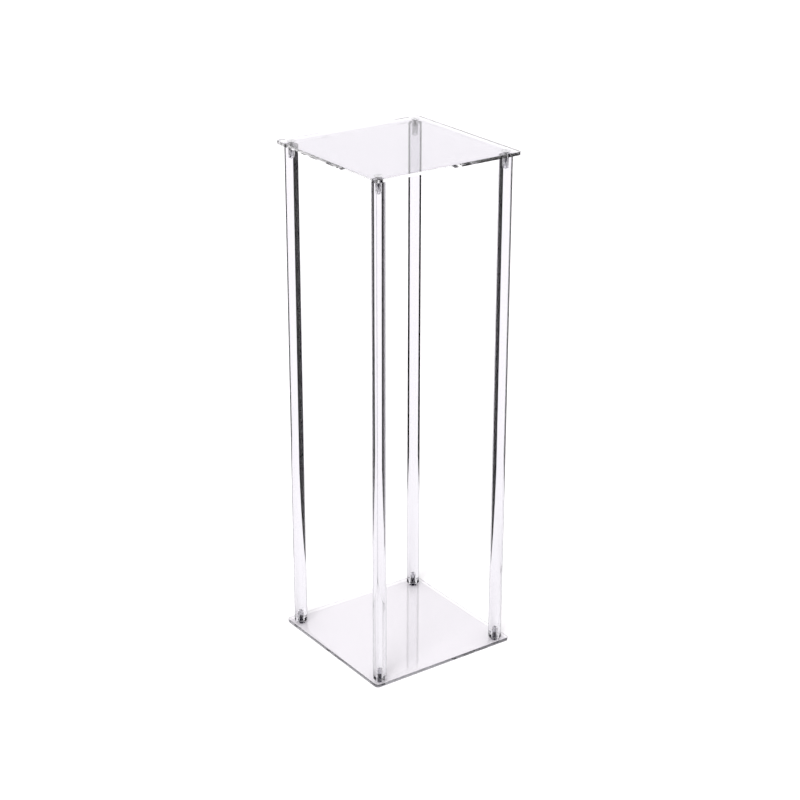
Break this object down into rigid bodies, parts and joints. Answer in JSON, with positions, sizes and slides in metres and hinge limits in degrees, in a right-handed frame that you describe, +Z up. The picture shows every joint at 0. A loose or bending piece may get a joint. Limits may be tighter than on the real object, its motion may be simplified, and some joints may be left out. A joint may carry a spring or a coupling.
{
  "type": "acrylic column stand",
  "caption": "Tall square free-standing display column: clear acrylic top and base plates held apart by round clear rods, fixed with countersunk screws.",
  "frame": {"origin": "on the floor, under the centre of the base plate", "axes": "+Z up along the column; front is -Y, right is +X, both along the plates' sides"},
  "size_m": [0.2, 0.2, 0.625],
  "materials": {
    "acrylic_sheet": "clear cast acrylic sheet, polished faces and edges",
    "acrylic_rod": "clear cast acrylic rod, polished",
    "screw_steel": "stainless steel, cold headed, rolled thread"
  },
  "bodies": {
    "root": {"top_plate": "acrylic_sheet", "base_plate": "acrylic_sheet", "rod_front_left": "acrylic_rod", "rod_front_right": "acrylic_rod", "rod_back_right": "acrylic_rod", "rod_back_left": "acrylic_rod", "top_screw_front_left": "screw_steel", "base_screw_front_left": "screw_steel", "top_screw_front_right": "screw_steel", "base_screw_front_right": "screw_steel", "top_screw_back_right": "screw_steel", "base_screw_back_right": "screw_steel", "top_screw_back_left": "screw_steel", "base_screw_back_left": "screw_steel"}
  },
  "joints": []
}
